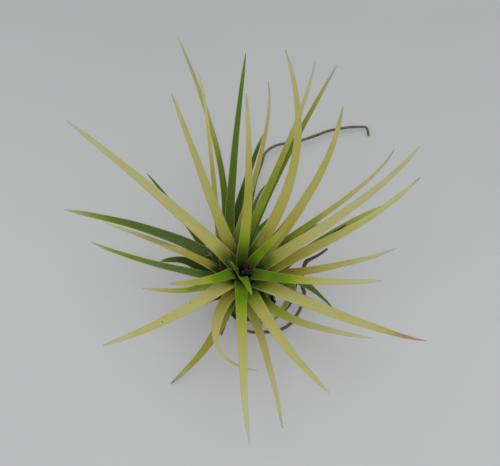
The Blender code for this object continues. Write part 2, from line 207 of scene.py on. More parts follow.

# Each leaf's colours from its neck to its tip.
# The darkest stops at some necks are painted shade deep between the leaves.
FADES = {
    "bud_left": ((0.0, "fresh"), (0.6, "meadow"), (1.0, "lime")),
    "bud_front": ((0.0, "dark"), (0.3, "grass"), (0.7, "fresh"), (1.0, "lime")),
    "crown_back": (
        (0.0, "night"), (0.06, "forest"), (0.12, "grass"), (0.18, "lime"), (0.26, "gold_green"),
        (0.45, "gold_green"), (0.6, "gold"), (0.78, "straw"), (0.9, "cream"), (1.0, "dust"),
    ),
    "crown_left": (
        (0.0, "forest"), (0.1, "grass"), (0.4, "fresh"), (0.46, "lime"), (0.56, "gold_green"),
        (0.72, "gold_green"), (0.88, "gold"), (1.0, "dust"),
    ),
    "crown_front": (
        (0.0, "forest"), (0.04, "dark"), (0.09, "fresh"), (0.16, "fresh"), (0.23, "lime"),
        (0.31, "gold_green"), (0.42, "gold"), (0.58, "straw"), (0.8, "cream"), (1.0, "ash"),
    ),
    "crown_right": (
        (0.0, "forest"), (0.08, "dark"), (0.15, "grass"), (0.25, "grass"), (0.31, "fresh"),
        (0.37, "lime"), (0.43, "gold_green"), (0.52, "gold"), (0.65, "straw"), (0.85, "cream"),
        (1.0, "ash"),
    ),
    "crown_slant": (
        (0.0, "forest"), (0.15, "dark"), (0.3, "fresh"), (0.42, "meadow"), (0.55, "lime"),
        (0.68, "gold_green"), (0.85, "honey"), (1.0, "honey"),
    ),
    "gold_left": (
        (0.0, "night"), (0.05, "forest"), (0.09, "moss"), (0.14, "gold"), (0.3, "straw"),
        (0.85, "cream"), (1.0, "ash"),
    ),
    "gold_front_left": (
        (0.0, "dark"), (0.05, "leaf"), (0.1, "gold_green"), (0.16, "gold"), (0.35, "straw"),
        (0.75, "straw"), (0.88, "cream"), (1.0, "ash"),
    ),
    "gold_front_right": (
        (0.0, "dark"), (0.04, "leaf"), (0.08, "meadow"), (0.12, "gold_green"), (0.16, "gold"),
        (0.23, "straw"), (0.7, "straw"), (0.79, "gold"), (0.86, "rust"), (1.0, "rust"),
    ),
    "gold_right": (
        (0.0, "night"), (0.06, "forest"), (0.1, "grass"), (0.15, "gold_green"), (0.21, "gold"),
        (0.35, "straw"), (0.88, "cream"), (1.0, "ash"),
    ),
    "gold_back": (
        (0.0, "night"), (0.08, "forest"), (0.11, "grass"), (0.14, "moss"), (0.2, "honey"),
        (0.35, "gold"), (0.6, "gold"), (0.8, "straw"), (0.93, "cream"), (1.0, "dust"),
    ),
    "straw_back_left": (
        (0.0, "night"), (0.08, "forest"), (0.12, "moss"), (0.18, "honey"), (0.32, "gold"),
        (0.5, "straw"), (0.8, "straw"), (0.93, "cream"), (1.0, "dust"),
    ),
    "straw_back_right": (
        (0.0, "night"), (0.08, "dark"), (0.14, "honey"), (0.3, "honey"), (0.45, "gold"),
        (0.7, "gold"), (0.85, "straw"), (1.0, "dust"),
    ),
    "straw_right": (
        (0.0, "dark"), (0.06, "moss"), (0.12, "honey"), (0.2, "honey"), (0.35, "gold"), (0.6, "straw"),
        (0.9, "cream"), (0.97, "dust"), (1.0, "husk"),
    ),
    "straw_front": (
        (0.0, "forest"), (0.06, "leaf"), (0.12, "lime"), (0.18, "gold_green"), (0.25, "gold"),
        (0.35, "gold"), (0.5, "straw"), (0.75, "straw"), (0.85, "cream"), (1.0, "ash"),
    ),
    "straw_hooked": (
        (0.0, "dark"), (0.05, "amber"), (0.2, "honey"), (0.35, "gold"), (0.5, "straw"),
        (0.7, "cream"), (0.85, "straw"), (1.0, "cream"),
    ),
    "straw_left": (
        (0.0, "painted_gloom"), (0.1, "painted_gloom"), (0.13, "night"), (0.17, "moss"), (0.21, "amber"),
        (0.3, "honey"), (0.45, "tan"), (0.6, "straw"), (0.85, "cream"), (1.0, "ash"),
    ),
    "olive_right": (
        (0.0, "forest"), (0.06, "dark"), (0.1, "moss"), (0.18, "amber"), (0.26, "amber"),
        (0.36, "honey"), (0.5, "gold"), (0.7, "straw"), (0.85, "cream"), (1.0, "ash"),
    ),
    "olive_back_right": (
        (0.0, "dark"), (0.1, "leaf"), (0.2, "meadow"), (0.3, "lime"), (0.42, "olive"), (0.52, "gold"),
        (0.7, "straw"), (0.85, "cream"), (0.96, "dust"), (1.0, "husk"),
    ),
    "olive_back_tall": (
        (0.0, "forest"), (0.15, "leaf"), (0.28, "lime"), (0.42, "lime"), (0.55, "gold_green"),
        (0.68, "straw"), (0.82, "cream"), (0.95, "ash"), (1.0, "dust"),
    ),
    "olive_back": (
        (0.0, "painted_gloom"), (0.14, "painted_gloom"), (0.19, "leaf"), (0.26, "gold_green"), (0.45, "gold_green"),
        (0.65, "gold"), (0.8, "straw"), (0.94, "ash"), (1.0, "husk"),
    ),
    "olive_back_left": (
        (0.0, "night"), (0.1, "forest"), (0.16, "gold"), (0.35, "gold"), (0.5, "gold_green"),
        (0.65, "straw"), (0.85, "cream"), (1.0, "ash"),
    ),
    "olive_left": (
        (0.0, "leaf"), (0.15, "meadow"), (0.42, "meadow"), (0.5, "lime"), (0.6, "gold_green"),
        (0.76, "gold"), (0.88, "cream"), (1.0, "ash"),
    ),
    "olive_front_left": (
        (0.0, "night"), (0.12, "dark"), (0.2, "olive"), (0.35, "olive"), (0.55, "honey"),
        (0.72, "gold_green"), (0.84, "gold"), (0.93, "dust"), (1.0, "husk"),
    ),
    "olive_front": (
        (0.0, "dark"), (0.1, "honey"), (0.3, "gold"), (0.55, "straw"), (0.85, "cream"), (1.0, "dust"),
    ),
    "olive_front_right": (
        (0.0, "night"), (0.12, "dark"), (0.2, "lime"), (0.32, "gold_green"), (0.5, "straw"),
        (0.8, "cream"), (1.0, "ash"),
    ),
    "green_right_low": ((0.0, "forest"), (0.5, "dark"), (0.75, "leaf"), (0.95, "leaf"), (1.0, "husk")),
    "green_right_short": ((0.0, "night"), (0.6, "dark"), (0.85, "leaf"), (1.0, "dust")),
    "green_back_right": (
        (0.0, "dark"), (0.2, "leaf"), (0.6, "meadow"), (0.75, "olive"), (0.86, "gold_green"),
        (0.95, "dust"), (1.0, "husk"),
    ),
    "green_back": (
        (0.0, "forest"), (0.12, "dark"), (0.4, "leaf"), (0.8, "leaf"), (0.92, "meadow"), (1.0, "husk"),
    ),
    "green_left_broad": (
        (0.0, "painted_gloom"), (0.1, "forest"), (0.22, "sage"), (0.62, "sage"), (0.74, "meadow"),
        (0.85, "olive"), (0.93, "dust"), (1.0, "ash"),
    ),
    "green_left": (
        (0.0, "dark"), (0.1, "sage"), (0.45, "sage"), (0.6, "meadow"), (0.72, "meadow"),
        (0.85, "olive"), (0.95, "dust"), (1.0, "ash"),
    ),
    # This leaf's dark is painted shade on its hollow face.
    "green_back_broad": ((0.0, "painted_gloom"), (0.25, "painted_gloom"), (0.5, "forest"), (0.9, "dark"), (1.0, "dust")),
    "outer_right": (
        (0.0, "dark"), (0.35, "leaf"), (0.5, "meadow"), (0.62, "lime"), (0.75, "gold_green"),
        (0.9, "straw"), (1.0, "dust"),
    ),
    "outer_back_right": ((0.0, "night"), (0.2, "forest"), (0.5, "leaf"), (0.7, "sage"), (1.0, "leaf")),
    "outer_back_low": ((0.0, "night"), (0.6, "dark"), (1.0, "leaf")),
    "outer_back_tall": (
        (0.0, "dark"), (0.2, "leaf"), (0.45, "meadow"), (0.58, "gold_green"), (0.75, "gold"),
        (0.9, "dust"), (1.0, "ash"),
    ),
    "outer_back_left": ((0.0, "night"), (0.6, "leaf"), (0.8, "leaf"), (0.92, "sage"), (1.0, "husk")),
    "outer_left_short": ((0.0, "night"), (0.5, "forest"), (0.72, "dark"), (0.92, "leaf"), (1.0, "husk")),
    "outer_left_low": ((0.0, "night"), (0.7, "dark"), (1.0, "husk")),
    "outer_front_left": ((0.0, "night"), (0.7, "forest"), (1.0, "husk")),
    "outer_front": ((0.0, "night"), (0.7, "dark"), (1.0, "husk")),
    "outer_front_right": ((0.0, "night"), (0.7, "dark"), (1.0, "husk")),
    "outer_right_curled": ((0.0, "leaf"), (0.3, "meadow"), (0.6, "olive"), (1.0, "gold_green")),
}
# Painted shade: sheaths are painted darker down to their feet, deep in the bulb.
SHEATH_PAINTED_SHADE = 0.55  # how much darker a sheath gets down to its foot

# Painted light: how much brighter a leaf's colour is painted where it would lie too deep in another's
# shade.
PAINTED_LIGHT_LIFTS = {
    "crown_back": 1.08,
    "straw_right": 1.18,
    "olive_back_left": 1.12,
    "olive_front": 1.05,
    "olive_front_right": 1.08,
    "crown_slant": 1.05,
    "straw_left": 1.12,
}

# How many degrees a blade has turned on its own line.
TWISTS = {
    "green_right_low": 70,
    "outer_back_right": 30,
    "outer_left_short": -40,
    "outer_right_curled": 40,
}

# How many times as broad as its solid a leaf is.
BROADER = {
    "bud_front": 1.45,
    "olive_back_left": 1.2,
    "green_right_low": 1.2,
    "outer_back_right": 1.15,
    "outer_left_short": 1.2,
    "outer_right_curled": 1.2,
}

# Past which share of its length a blade gets slimmer than it tapers to, and by how much.
SLIMMER = {
    "gold_front_right": (0.7, 0.35),
    "straw_hooked": (0.4, 0.5),
    "green_right_low": (0.6, 0.35),
}
SLIM_OVER = 0.25  # the share of the length in which it does so

# How fine the noise on a leaf is: across it, along it and from one leaf to the next.
FIBRE_STRETCH = (3.2, 0.07, 1)
PATCH_STRETCH = (0.5, 0.16, 1)
BLOTCH_STRETCH = (0.9, 0.45, 1)
FLECK_STRETCH = (3.6, 2.6, 1)
SPECK_STRETCH = (1.3, 1.0, 1)
FIBRE_CONTRAST = 0.06
FLECK_CONTRAST = 0.07
SCURF_BELOW = 1.6  # how much more scurf a leaf has underneath
SKIN_RELIEF_M = 0.00012

# Each root: node, radius in millimetres, and its points (x, y, z, and how thick it is there). Most
# points were worked out from a place in the photo and a height that was chosen.
ROOTS = (
    (
        "root_long",
        0.42,
        (
            (0.9, 7.1, 1.5, 1.0),
            (0.3, 11, 1.1, 1.0),
            (-0.5, 18, 0.9, 1.0),
            (-0.3, 26, 1.0, 1.0),
            (0.6, 33, 1.3, 1.0),
            (1.9, 40, 1.9, 1.0),
            (3.7, 46.1, 1.8, 1.0),
            (4.3, 48.5, 1.9, 1.0),
            (5.5, 50.2, 2.0, 1.0),
            (7.4, 51.6, 2.0, 1.0),
            (9.2, 52.3, 2.0, 1.0),
            (11.1, 52.7, 2.0, 1.0),
            (15.7, 53.7, 2.0, 1.05),
            (20.0, 55.3, 2.0, 1.05),
            (24.4, 57.1, 2.0, 1.0),
            (28.1, 58.0, 1.9, 1.0),
            (31.0, 58.6, 1.7, 0.95),
            (34.6, 58.9, 1.4, 0.85),
            (36.2, 58.8, 1.2, 0.85),
            (36.6, 58.2, 1.0, 0.85),
            (36.9, 56.2, 0.6, 0.8),
        ),
    ),
    (
        "root_loop",
        0.45,
        (
            (-3.4, -6.1, 1.9, 1.0),
            (-2.2, -8.2, 1.2, 0.9),
            (-0.6, -9.3, 0.7, 0.9),
            (3.5, -9.6, 0.7, 1.0),
            (8.4, -9.0, 0.7, 1.0),
            (12.0, -6.9, 1.0, 1.0),
            (13.4, -4.9, 1.2, 1.0),
            (14.8, -2.4, 1.6, 1.0),
            (15.8, 1.2, 2.2, 0.9),
            (15.9, 2.3, 2.5, 1.3),
            (15.3, 4.0, 3.0, 1.1),
            (15.6, 7.4, 5.2, 1.0),
            (16.4, 9.9, 7.0, 1.5),
            (18.1, 10.6, 8.0, 1.1),
            (20.4, 11.1, 10.0, 0.95),
            (22.4, 11.8, 12.0, 0.8),
        ),
    ),
    (
        "root_thin",
        0.3,
        (
            (3.4, -6.7, 1.6, 1.0),
            (5.8, -6.8, 1.0, 1.0),
            (7.3, -5.6, 1.2, 1.0),
            (11.7, -1.4, 1.6, 1.0),
            (13.1, 2.6, 2.4, 1.0),
            (13.6, 4.4, 3.1, 1.0),
            (13.9, 6.6, 4.6, 0.9),
        ),
    ),
)


def linear(value):
    """The light that a screen value from 0 to 255 stands for."""
    part = value / 255
    return part / 12.92 if part <= 0.04045 else ((part + 0.055) / 1.055) ** 2.4


def surface_colour(name):
    """A palette colour as the surface's own, with the studio light taken off."""
    return Vector([linear(value) * gain for value, gain in zip(PALETTE[name], LIGHT_GAIN)])


def rgba(name, gain=1.0):
    """A palette colour as a shader takes it, made darker or brighter by the gain."""
    return (*(surface_colour(name) * gain), 1)


def faded(stops, share):
    """The colour between two stops."""
    for (before, first), (after, second) in zip(stops, stops[1:]):
        if share <= after:
            part = (share - before) / (after - before)
            return surface_colour(first).lerp(surface_colour(second), max(0, part))
    return surface_colour(stops[-1][1])


def axis_at(height):
    """The middle of the plant at a height, both in millimetres."""
    return Vector((STEM_LEAN[0] * height, STEM_LEAN[1] * height, height))


def round_axis(degrees):
    """The level direction that points away from the axis."""
    angle = math.radians(degrees)
    return Vector((math.cos(angle), math.sin(angle), 0))


def bezier(points, t):
    a, b, c, d = points
    return a * (1 - t) ** 3 + b * 3 * t * (1 - t) ** 2 + c * 3 * t * t * (1 - t) + d * t**3


# Materials


class Nodes:
    """Builds a material's nodes with short calls."""

    def __init__(self, name):
        self.material = bpy.data.materials.new(name)
        self.material.use_nodes = True
        self.tree = self.material.node_tree
        self.shader = self.tree.nodes["Principled BSDF"]

    def add(self, kind, **settings):
        node = self.tree.nodes.new(kind)
        for key, value in settings.items():
            setattr(node, key, value)
        return node

    def put(self, socket, value):
        if isinstance(value, bpy.types.NodeSocket):
            self.tree.links.new(value, socket)
        else:
            socket.default_value = value

    def attribute(self, name, output="Fac"):
        return self.add("ShaderNodeAttribute", attribute_name=name).outputs[output]

    def math(self, operation, first, second):
        node = self.add("ShaderNodeMath", operation=operation)
        self.put(node.inputs[0], first)
        self.put(node.inputs[1], second)
        return node.outputs[0]

    def mix(self, amount, first, second, blend="MIX"):
        node = self.add("ShaderNodeMix", data_type="RGBA", blend_type=blend)
        self.put(node.inputs[0], amount)
        self.put(node.inputs[6], first)
        self.put(node.inputs[7], second)
        return node.outputs[2]

    def spread(self, value, low, high, to_low=0.0, to_high=1.0):
        """A value's stretch from low to high becomes the stretch from to_low to to_high."""
        node = self.add("ShaderNodeMapRange")
        self.put(node.inputs[0], value)
        for socket, number in zip(node.inputs[1:5], (low, high, to_low, to_high)):
            socket.default_value = number
        return node.outputs[0]

    def weighted(self, first, second, share):
        """The sum of one value and a share of another."""
        return self.math("ADD", first, self.math("MULTIPLY", second, share))

    def stretched_noise(self, vector, stretch, scale=1.0, detail=3.0, rough=0.5):
        """Noise that is finer in one direction than in the other."""
        node = self.add("ShaderNodeMapping")
        self.put(node.inputs["Vector"], vector)
        node.inputs["Scale"].default_value = stretch
        return self.noise(node.outputs[0], scale, detail, rough)

    def noise(self, vector, scale, detail=3.0, rough=0.5):
        node = self.add("ShaderNodeTexNoise")
        self.put(node.inputs["Vector"], vector)
        node.inputs["Scale"].default_value = scale
        node.inputs["Detail"].default_value = detail
        node.inputs["Roughness"].default_value = rough
        return node.outputs[0]

    def bump(self, height, distance, strength):
        node = self.add("ShaderNodeBump")
        node.inputs["Strength"].default_value = strength
        node.inputs["Distance"].default_value = distance
        self.put(node.inputs["Height"], height)
        self.put(self.shader.inputs["Normal"], node.outputs[0])


def leaf_material(name, scurf, blush, roughness, pale_margin):
    """A channelled leaf: lengthwise grain, pale thin margins, scurf and a warm blush."""
    nodes = Nodes(name)
    grain = nodes.attribute("grain", "Vector")
    tint = nodes.attribute("tint", "Color")
    margin = nodes.attribute("margin")
    upper = nodes.attribute("upper")
    fibres = nodes.stretched_noise(grain, FIBRE_STRETCH, detail=4.0, rough=0.6)
    patches = nodes.stretched_noise(grain, PATCH_STRETCH)
    blotches = nodes.stretched_noise(grain, BLOTCH_STRETCH, scale=1.3)
    flecks = nodes.stretched_noise(grain, FLECK_STRETCH, detail=2.0, rough=0.7)
    specks = nodes.stretched_noise(grain, SPECK_STRETCH, detail=0.0)
    shade = nodes.spread(fibres, 0.25, 0.75, 1 - FIBRE_CONTRAST, 1 + FIBRE_CONTRAST)
    mottle = nodes.spread(flecks, 0.3, 0.7, 1 - FLECK_CONTRAST, 1 + FLECK_CONTRAST)
    colour = nodes.mix(1.0, tint, nodes.math("MULTIPLY", shade, mottle), "MULTIPLY")
    colour = nodes.mix(nodes.spread(patches, 0.48, 0.72, 0.0, blush), colour, rgba("tan"))
    colour = nodes.mix(nodes.spread(blotches, 0.55, 0.85, 0.0, 0.35), colour, tint)
    dusting = nodes.spread(flecks, 0.48, 0.68, 0.0, scurf)
    below = nodes.spread(upper, 0.0, 1.0, SCURF_BELOW, 1.0)
    colour = nodes.mix(nodes.math("MULTIPLY", dusting, below), colour, rgba("dust"))
    edge = nodes.spread(margin, 0.8, 1.0, 0.0, pale_margin)
    colour = nodes.mix(edge, colour, rgba("cream"))
    colour = nodes.mix(nodes.spread(specks, 0.855, 0.875, 0.0, 0.8), colour, rgba("husk", 0.2))
    nodes.put(nodes.shader.inputs["Base Color"], colour)
    gloss = nodes.spread(flecks, 0.2, 0.8, roughness - 0.08, roughness + 0.1)
    nodes.put(nodes.shader.inputs["Roughness"], gloss)
    nodes.shader.inputs["Specular IOR Level"].default_value = 0.06
    nodes.shader.inputs["Subsurface Weight"].default_value = 0.12
    nodes.shader.inputs["Subsurface Radius"].default_value = (0.9, 1.0, 0.3)
    nodes.shader.inputs["Subsurface Scale"].default_value = 0.0005
    nodes.shader.inputs["Sheen Weight"].default_value = 0.15 * scurf
    nodes.shader.inputs["Sheen Roughness"].default_value = 0.5
    nodes.bump(nodes.weighted(fibres, flecks, 0.4), SKIN_RELIEF_M, 0.5)
    return nodes.material


def dry_material(name, light, dark, scale, roughness, relief):
    """Dry brown fibre: coarse and fine clouds between two colours, with a bumpy surface."""
    nodes = Nodes(name)
    place = nodes.add("ShaderNodeTexCoord").outputs["Object"]
    cloud = nodes.noise(place, scale, 5.0, 0.65)
    fine = nodes.noise(place, scale * 5, 3.0, 0.6)
    mixed = nodes.math("ADD", nodes.math("MULTIPLY", cloud, 0.65), nodes.math("MULTIPLY", fine, 0.35))
    colour = nodes.mix(nodes.spread(mixed, 0.38, 0.62), dark, light)
    nodes.put(nodes.shader.inputs["Base Color"], colour)
    gloss = nodes.spread(fine, 0.3, 0.7, roughness - 0.1, roughness + 0.1)
    nodes.put(nodes.shader.inputs["Roughness"], gloss)
    nodes.shader.inputs["Specular IOR Level"].default_value = 0.3
    nodes.bump(mixed, relief, 0.8)
    return nodes.material


def scale_material():
    """Dry papery scales: lengthwise fibres, some scales older and darker, paler at their torn ends."""
    nodes = Nodes("dry_scale")
    grain = nodes.attribute("grain", "Vector")
    fibres = nodes.stretched_noise(grain, SCALE_FIBRE_STRETCH, detail=4.0, rough=0.6)
    worn = nodes.weighted(nodes.attribute("age"), fibres, 0.5)
    colour = nodes.mix(nodes.spread(worn, 0.2, 1.0), rgba("husk", 0.18), rgba("husk", 1.15))
    nodes.put(nodes.shader.inputs["Base Color"], colour)
    nodes.put(nodes.shader.inputs["Roughness"], nodes.spread(fibres, 0.3, 0.7, 0.7, 0.9))
    nodes.shader.inputs["Specular IOR Level"].default_value = 0.2
    nodes.bump(fibres, SCALE_RELIEF_M, 0.8)
    return nodes.material


# Leaves

VALUE_KINDS = {"grain": ("FLOAT_VECTOR", "vector"), "tint": ("FLOAT_COLOR", "color")}


def leaf_line(tier, root, tip, bow):
    """The leaf's middle line in millimetres: (point, share of the blade passed), sheath first."""
    out = round_axis(root)
    radius = TIER_RADIUS_MM[tier]
    foot = TIER_FOOT_MM[tier]
    neck = TIER_NECK_MM[tier]
    line = []
    for row in range(SHEATH_ROWS):
        height = foot + (neck - foot) * row / SHEATH_ROWS
        line.append((axis_at(height) + out * radius, 0.0))
    start = axis_at(neck) + out * radius
    end = Vector(tip)
    chord = end - start
    length = chord.length
    left = Vector((-chord.y, chord.x, 0)).normalized()
    rise = min(NECK_REACH_MM, NECK_REACH_SHARE * length)
    along = bow[2] - OUTER_REACH_SHARE * length
    handles = (
        start,
        start + (axis_at(1) - axis_at(0) + out * TIER_SPLAY[tier]) * rise,
        end + chord.normalized() * along + left * bow[0] + Vector((0, 0, bow[1])),
        end,
    )
    blade = [bezier(handles, row / BLADE_ROWS) for row in range(BLADE_ROWS + 1)]
    passed = [0.0]
    for before, after in zip(blade, blade[1:]):
        passed.append(passed[-1] + (after - before).length)
    line += [(point, so_far / passed[-1]) for point, so_far in zip(blade, passed)]
    return line


def blade_width(full, share):
    """A blade tapers evenly to about a quarter of its width, and its last tenth comes to a point."""
    point = min(1, math.sqrt(max(0, 1 - share) / POINT_SHARE))
    return max(TIP_WIDTH_MM, full * (1 - TAPER * share) * point)


def leaf_ring(middle, across, inward, wide, turn, thin, grown):
    """One ring round a leaf: (point, place across, how near a margin, side).

    It spans twice the angle turn, and grown says how far sheath has become blade, from 0 to 1.
    """
    bend = wide / 2 / turn
    ring = []
    for side, steps in ((1, range(ACROSS + 1)), (-1, range(ACROSS - 1, 0, -1))):
        for step in steps:
            aside = 2 * step / ACROSS - 1
            angle = turn * aside
            round_out = math.sqrt(max(0, 1 - aside * aside))
            half = (MARGIN_MM + (MIDDLE_MM - MARGIN_MM) * round_out) / 2 * thin
            if step in (0, ACROSS):
                half = 0
            normal = inward * math.cos(angle) - across * math.sin(angle)
            place = middle + across * bend * math.sin(angle)
            place += inward * bend * (1 - math.cos(angle))
            place += normal * half * side + inward * (aside * TUCK_MM * (1 - grown))
            ring.append((place * MM, aside * wide / 2, abs(aside), side))
    return ring


def leaf_rings(number, tier, root, tip, width, sheath, bow, twist, slim):
    """The rings round a leaf from its foot to its tip: (ring, share of the blade, millimetres passed)."""
    line = leaf_line(tier, root, tip, bow)
    points = [point for point, _ in line]
    across = round_axis(root + 90)
    clasp = sheath * SHEATH_CLASPS
    hug = clasp / 2 / TIER_RADIUS_MM[tier]
    rings = []
    passed = 0.0
    for i, (middle, share) in enumerate(line):
        ahead = points[min(i + 1, len(points) - 1)] - points[max(i - 1, 0)]
        ahead.normalize()
        across = (across - ahead * across.dot(ahead)).normalized()
        settled = min(1, SETTLING * share)
        turned = math.radians(twist) * settled
        aslant = across * math.cos(turned) + ahead.cross(across) * math.sin(turned)
        inward = ahead.cross(aslant)
        passed += (points[i] - points[max(i - 1, 0)]).length
        grown = min(1, share / WIDENS_OVER)
        slimmed = 1 - slim[1] * min(1, max(0, share - slim[0]) / SLIM_OVER)
        wide = clasp + (blade_width(width, share) * slimmed - clasp) * grown
        turn = hug + (CHANNEL - hug) * settled
        stray = SWAY_MM * share * (1 - share) * 4
        sway = aslant * stray * noise.noise(Vector((number * SWAY_STEP, share * SWAY_WAVES, 0)))
        sway += inward * stray * noise.noise(Vector((number * SWAY_STEP, share * SWAY_WAVES, 5)))
        thin = 1 - TIP_THINNING * share
        ring = leaf_ring(middle + sway, aslant, inward, wide, turn, thin, grown)
        rings.append((ring, share, passed))
    return rings


def join_rings(made, rings):
    """Joins rings of points one to the next, closed at both ends."""
    rows = [[made.verts.new(place) for place in ring] for ring in rings]
    for low, high in zip(rows, rows[1:]):
        count = len(low)
        for j in range(count):
            made.faces.new((low[j], low[(j + 1) % count], high[(j + 1) % count], high[j]))
    made.faces.new(list(reversed(rows[0])))
    made.faces.new(rows[-1])


def ring_mesh(name, shapes):
    """A mesh of closed shapes, each a list of rings."""
    mesh = bpy.data.meshes.new(name)
    made = bmesh.new()
    for rings in shapes:
        join_rings(made, rings)
    bmesh.ops.recalc_face_normals(made, faces=made.faces)
    made.to_mesh(mesh)
    made.free()
    return mesh


def points_of(rings):
    """The rings' points alone, without what else is known of them."""
    return [[spot[0] for spot in ring] for ring, *_ in rings]


def write_values(mesh, values):
    """Stores named values on a mesh's points: vectors, colours or plain numbers."""
    for key, numbers in values.items():
        kind, field = VALUE_KINDS.get(key, ("FLOAT", "value"))
        mesh.attributes.new(key, kind, "POINT")
        mesh.attributes[key].data.foreach_set(field, numbers)


def add_piece(name, data, material, node):
    """Puts a piece in the scene in the place of a node."""
    piece = bpy.data.objects.new(name, data)
    data.materials.append(material)
    bpy.context.scene.collection.objects.link(piece)
    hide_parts(node)
    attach(piece, "root")
    return piece


def add_leaf(number, row, material, slot):
    """A leaf from its row of the table, with its fade of colours on its points, painted shade down its
    sheath and painted light where it is lifted.
    """
    name, tier, root, tip, width, sheath, bow = row
    width *= BROADER.get(name, 1)
    twist = TWISTS.get(name, 0)
    slim = SLIMMER.get(name, (1, 0))
    rings = leaf_rings(number, tier, root, tip, width, sheath, bow, twist, slim)
    mesh = ring_mesh(f"{name}_leaf", [points_of(rings)])
    mesh.shade_smooth()
    values = {"grain": [], "tint": [], "margin": [], "upper": []}
    for i, (ring, share, passed) in enumerate(rings):
        # The sheath rows get painted shade towards the foot.
        shade = 1 if share else 1 - SHEATH_PAINTED_SHADE * (1 - i / SHEATH_ROWS)
        # The lift is painted light against the shade of the leaves above.
        colour = (*(faded(FADES[name], share) * PAINTED_LIGHT_LIFTS.get(name, 1) * shade), 1)
        for _, aside, edge, side in ring:
            values["grain"] += (aside, passed, number * GRAIN_STEP)
            values["tint"] += colour
            values["margin"].append(edge)
            values["upper"].append(max(0, side))
    write_values(mesh, values)
    return add_piece(f"{name}_leaf", mesh, material, f"leaf_{name}")


# Stem, stub and roots

LEAST_RADIUS_MM = 0.02
DENT_WAVES = 2.5
DENT_RISE = 0.6


def add_turned(name, profile, material, node, steps, sides, rough_mm):
    """A turned shape whose skin is dented inwards."""
    rings = []
    for (r0, z0), (r1, z1) in zip(profile, profile[1:]):
        for step in range(steps):
            part = step / steps
            radius = r0 + (r1 - r0) * part
            height = z0 + (z1 - z0) * part
            ring = []
            for j in range(sides):
                out = round_axis(360 * j / sides)
                where = out * DENT_WAVES + Vector((0, 0, height * DENT_RISE))
                dent = rough_mm * (0.5 + 0.5 * noise.noise(where))
                dented = max(LEAST_RADIUS_MM, radius - dent * min(1, radius))
                ring.append((axis_at(height) + out * dented) * MM)
            rings.append(ring)
    mesh = ring_mesh(name, [rings])
    mesh.shade_smooth()
    return add_piece(name, mesh, material, node)


def add_root(name, radius, line, material):
    """A wiry root: a round curve that is thicker at its knots."""
    curve = bpy.data.curves.new(f"{name}_fine", "CURVE")
    curve.dimensions = "3D"
    curve.bevel_depth = radius * MM
    curve.bevel_resolution = 4
    curve.resolution_u = 8
    curve.use_fill_caps = True
    spline = curve.splines.new("BEZIER")
    spline.bezier_points.add(len(line) - 1)
    for point, (x, y, z, thick) in zip(spline.bezier_points, line):
        point.co = (x * MM, y * MM, z * MM)
        point.radius = thick
        point.handle_left_type = "AUTO"
        point.handle_right_type = "AUTO"
    return add_piece(f"{name}_fine", curve, material, name)


# Dry bits

# Each: middle (x, y, z), the way it points (degrees round, degrees up), length and width in millimetres.
CROWN_BITS = (
    ((-0.9, 1.6, 20.8), 30, 35, 2.0, 0.45),
    ((-0.2, 0.9, 20.8), 350, 20, 1.8, 0.5),
    ((0.3, 2.1, 20.8), 65, 15, 1.7, 0.4),
    ((0.9, 0.6, 21.0), 320, 5, 1.8, 0.45),
    ((0.5, -0.3, 20.9), 300, 10, 1.5, 0.45),
    ((-0.4, 0.1, 20.6), 250, 30, 1.4, 0.5),
    ((-1.6, 1.6, 20.9), 130, 50, 1.8, 0.4),
    ((0.1, 1.5, 21.2), 95, 25, 1.4, 0.3),
    ((1.6, 1.4, 20.9), 20, 8, 2.0, 0.4),
    ((2.4, 1.9, 20.8), 35, 5, 1.9, 0.35),
    ((3.0, 1.2, 20.6), 350, 4, 1.6, 0.3),
    ((2.0, 0.5, 20.9), 330, 0, 1.6, 0.35),
    ((1.2, 2.6, 20.8), 60, 10, 1.6, 0.35),
    ((2.9, 2.5, 21.0), 50, 12, 1.4, 0.25),
    ((-1.8, 2.5, 20.7), 150, 30, 1.4, 0.35),
    ((-1.3, 0.4, 21.1), 15, 10, 1.5, 0.3),
    ((-0.6, -0.2, 21.2), 345, 20, 1.6, 0.3),
)
TORN_BITS = (
    ((-12.0, 8.9, 15.5), 118, 40, 1.8, 0.3),
    ((-11.4, 8.5, 15.3), 140, 50, 1.8, 0.35),
    ((-11.3, 9.5, 15.4), 100, 45, 1.8, 0.3),
    ((-12.3, 8.2, 15.2), 205, 20, 1.5, 0.28),
)
DARK_BITS = (
    ((-14.3, -0.5, 13.6), 186, 4, 3.0, 0.7),
    ((25.4, 13.8, 20.6), 30, 10, 5.2, 0.7),
    ((21.6, 11.5, 18.8), 28, 12, 3.6, 0.6),
)
BIT_ROWS = 7
BIT_MM = 0.12  # thickness of a dry bit
BIT_CURL = 0.5  # how steep the ends of a bit are against its middle
BIT_RAGGED = 0.5
BIT_STRAY = 0.25  # how far a bit strays from its line, in widths
LEAST_HALF_MM = 0.03

# The dry scales of the foot: how far out and how high each lies, from its base to its end.
SCALE_LINE_MM = (
    (5.3, 0.5),
    (6.5, 1.6),
    (6.95, 2.8),
    (7.3, 4.0),
    (7.4, 5.2),
    (7.45, 6.4),
)
SCALE_COUNT = 26
SCALE_TURN = 137.5  # degrees from one scale to the next
SCALE_SWING = 12  # and how far its end swings aside, in degrees
SCALE_WIDTH_MM = 2.6
SCALE_LEAST_HALF_MM = 0.05
SCALE_RAGGED = 0.35
SCALE_REACH = (0.85, 0.4)  # how high a scale reaches, and how much that differs
SCALE_LIFTS_MM = (0.1, 0.8, 0.45)  # how far the ends of one scale after the other stand off
SCALE_AGE = (0.3, 0.5)  # how pale a scale is at its base, and how much that differs
SCALE_END_PALER = 0.35
SCALE_GRAIN_STEP = 9.1
SCALE_FIBRE_STRETCH = (3.0, 0.35, 1)
SCALE_RELIEF_M = 0.00015


